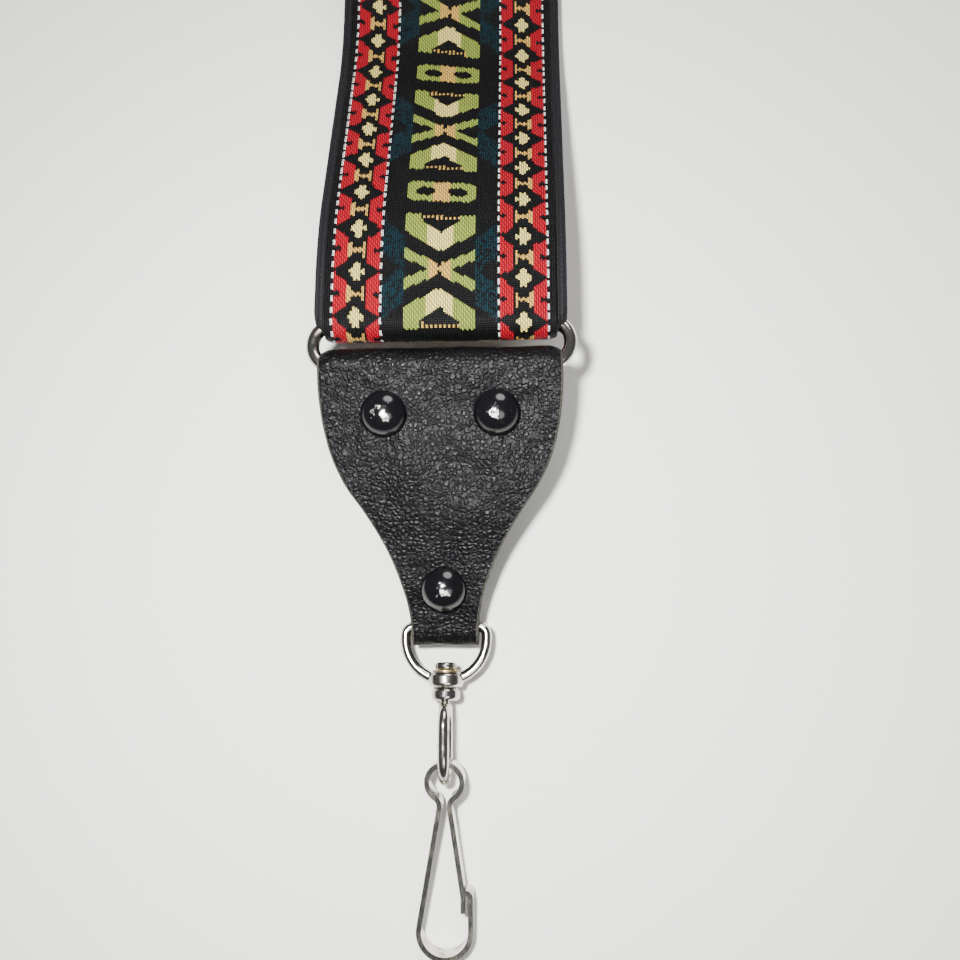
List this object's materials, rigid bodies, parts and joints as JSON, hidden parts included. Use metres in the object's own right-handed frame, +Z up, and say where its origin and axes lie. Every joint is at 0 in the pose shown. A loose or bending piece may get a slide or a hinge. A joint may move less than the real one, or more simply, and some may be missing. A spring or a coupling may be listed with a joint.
{
  "type": "guitar strap",
  "caption": "Woven jacquard shoulder strap, folded for storage, with riveted leather ends, wire rings and swivelling spring clips that hook onto an instrument.",
  "frame": {"origin": "on the floor under the middle of the part", "axes": "+X right across the webbing, +Y along the strap from the near clip to the far clip, +Z up; the ribbon's patterned face is up"},
  "size_m": [0.0598, 0.6244, 0.0269],
  "materials": {
    "black_webbing": "matte",
    "jacquard": "satin",
    "black_leather": "satin",
    "nickel": "polished",
    "worn_brass": "satin",
    "black_enamel": "gloss"
  },
  "bodies": {
    "strap": {"webbing_backing": "black_webbing", "jacquard_ribbon": "jacquard", "slider_buckle": "nickel"},
    "near_ring": {"near_oval_ring": "nickel"},
    "near_tab": {"near_leather_tab": "black_leather", "near_rivet_base_left": "black_enamel", "near_rivet_cap_left": "black_enamel", "near_rivet_base_right": "black_enamel", "near_rivet_cap_right": "black_enamel", "near_rivet_base_lower": "black_enamel", "near_rivet_cap_lower": "black_enamel"},
    "near_dee": {"near_d_ring": "nickel"},
    "near_swivel": {"near_swivel_eye": "nickel", "near_swivel_washer": "worn_brass", "near_swivel_head": "nickel"},
    "near_clip": {"near_clip_hook": "nickel"},
    "near_gate": {"near_clip_gate": "nickel"},
    "far_ring": {"far_oval_ring": "nickel"},
    "far_tab": {"far_leather_tab": "black_leather", "far_rivet_base_left": "black_enamel", "far_rivet_cap_left": "black_enamel", "far_rivet_base_right": "black_enamel", "far_rivet_cap_right": "black_enamel", "far_rivet_base_lower": "black_enamel", "far_rivet_cap_lower": "black_enamel"},
    "far_dee": {"far_d_ring": "nickel"},
    "far_swivel": {"far_swivel_eye": "nickel", "far_swivel_washer": "worn_brass", "far_swivel_head": "nickel"},
    "far_clip": {"far_clip_hook": "nickel"},
    "far_gate": {"far_clip_gate": "nickel"}
  },
  "joints": [
    {"name": "near_ring_hinge", "type": "hinge", "parent": "strap", "child": "near_ring", "pos_m": [0, -0.18768, 0.023], "axis": [-1, 0, 0], "range_deg": [-60, 75]},
    {"name": "near_tab_hinge", "type": "hinge", "parent": "near_ring", "child": "near_tab", "pos_m": [0, -0.19698, 0.023], "axis": [-1, 0, 0], "range_deg": [-45, 75]},
    {"name": "near_dee_hinge", "type": "hinge", "parent": "near_tab", "child": "near_dee", "pos_m": [0, -0.24766, 0.0062], "axis": [-1, 0, 0], "range_deg": [-45, 75]},
    {"name": "near_swivel_turn", "type": "hinge", "parent": "near_dee", "child": "near_swivel", "pos_m": [0, -0.25836, 0.0062], "axis": [0, -1, 0], "continuous": true},
    {"name": "near_clip_hinge", "type": "hinge", "parent": "near_swivel", "child": "near_clip", "pos_m": [0, -0.27806, 0.0062], "axis": [0, -0.108, 0.9942], "range_deg": [-90, 90]},
    {"name": "near_gate_spring", "type": "hinge", "parent": "near_clip", "child": "near_gate", "pos_m": [0.001, -0.28265, 0.0057], "axis": [0, 0.108, -0.9942], "range_deg": [0, 18], "stiffness_Nm_per_rad": 0.12, "springref_deg": -11.46},
    {"name": "far_ring_hinge", "type": "hinge", "parent": "strap", "child": "far_ring", "pos_m": [0, 0.18768, 0.023], "axis": [1, 0, 0], "range_deg": [-60, 75]},
    {"name": "far_tab_hinge", "type": "hinge", "parent": "far_ring", "child": "far_tab", "pos_m": [0, 0.19698, 0.023], "axis": [1, 0, 0], "range_deg": [-45, 75]},
    {"name": "far_dee_hinge", "type": "hinge", "parent": "far_tab", "child": "far_dee", "pos_m": [0, 0.24766, 0.0062], "axis": [1, 0, 0], "range_deg": [-45, 75]},
    {"name": "far_swivel_turn", "type": "hinge", "parent": "far_dee", "child": "far_swivel", "pos_m": [0, 0.25836, 0.0062], "axis": [0, 1, 0], "continuous": true},
    {"name": "far_clip_hinge", "type": "hinge", "parent": "far_swivel", "child": "far_clip", "pos_m": [0, 0.27806, 0.0062], "axis": [0, 0.108, 0.9942], "range_deg": [-90, 90]},
    {"name": "far_gate_spring", "type": "hinge", "parent": "far_clip", "child": "far_gate", "pos_m": [-0.001, 0.28265, 0.0057], "axis": [0, -0.108, -0.9942], "range_deg": [0, 18], "stiffness_Nm_per_rad": 0.12, "springref_deg": -11.46}
  ]
}
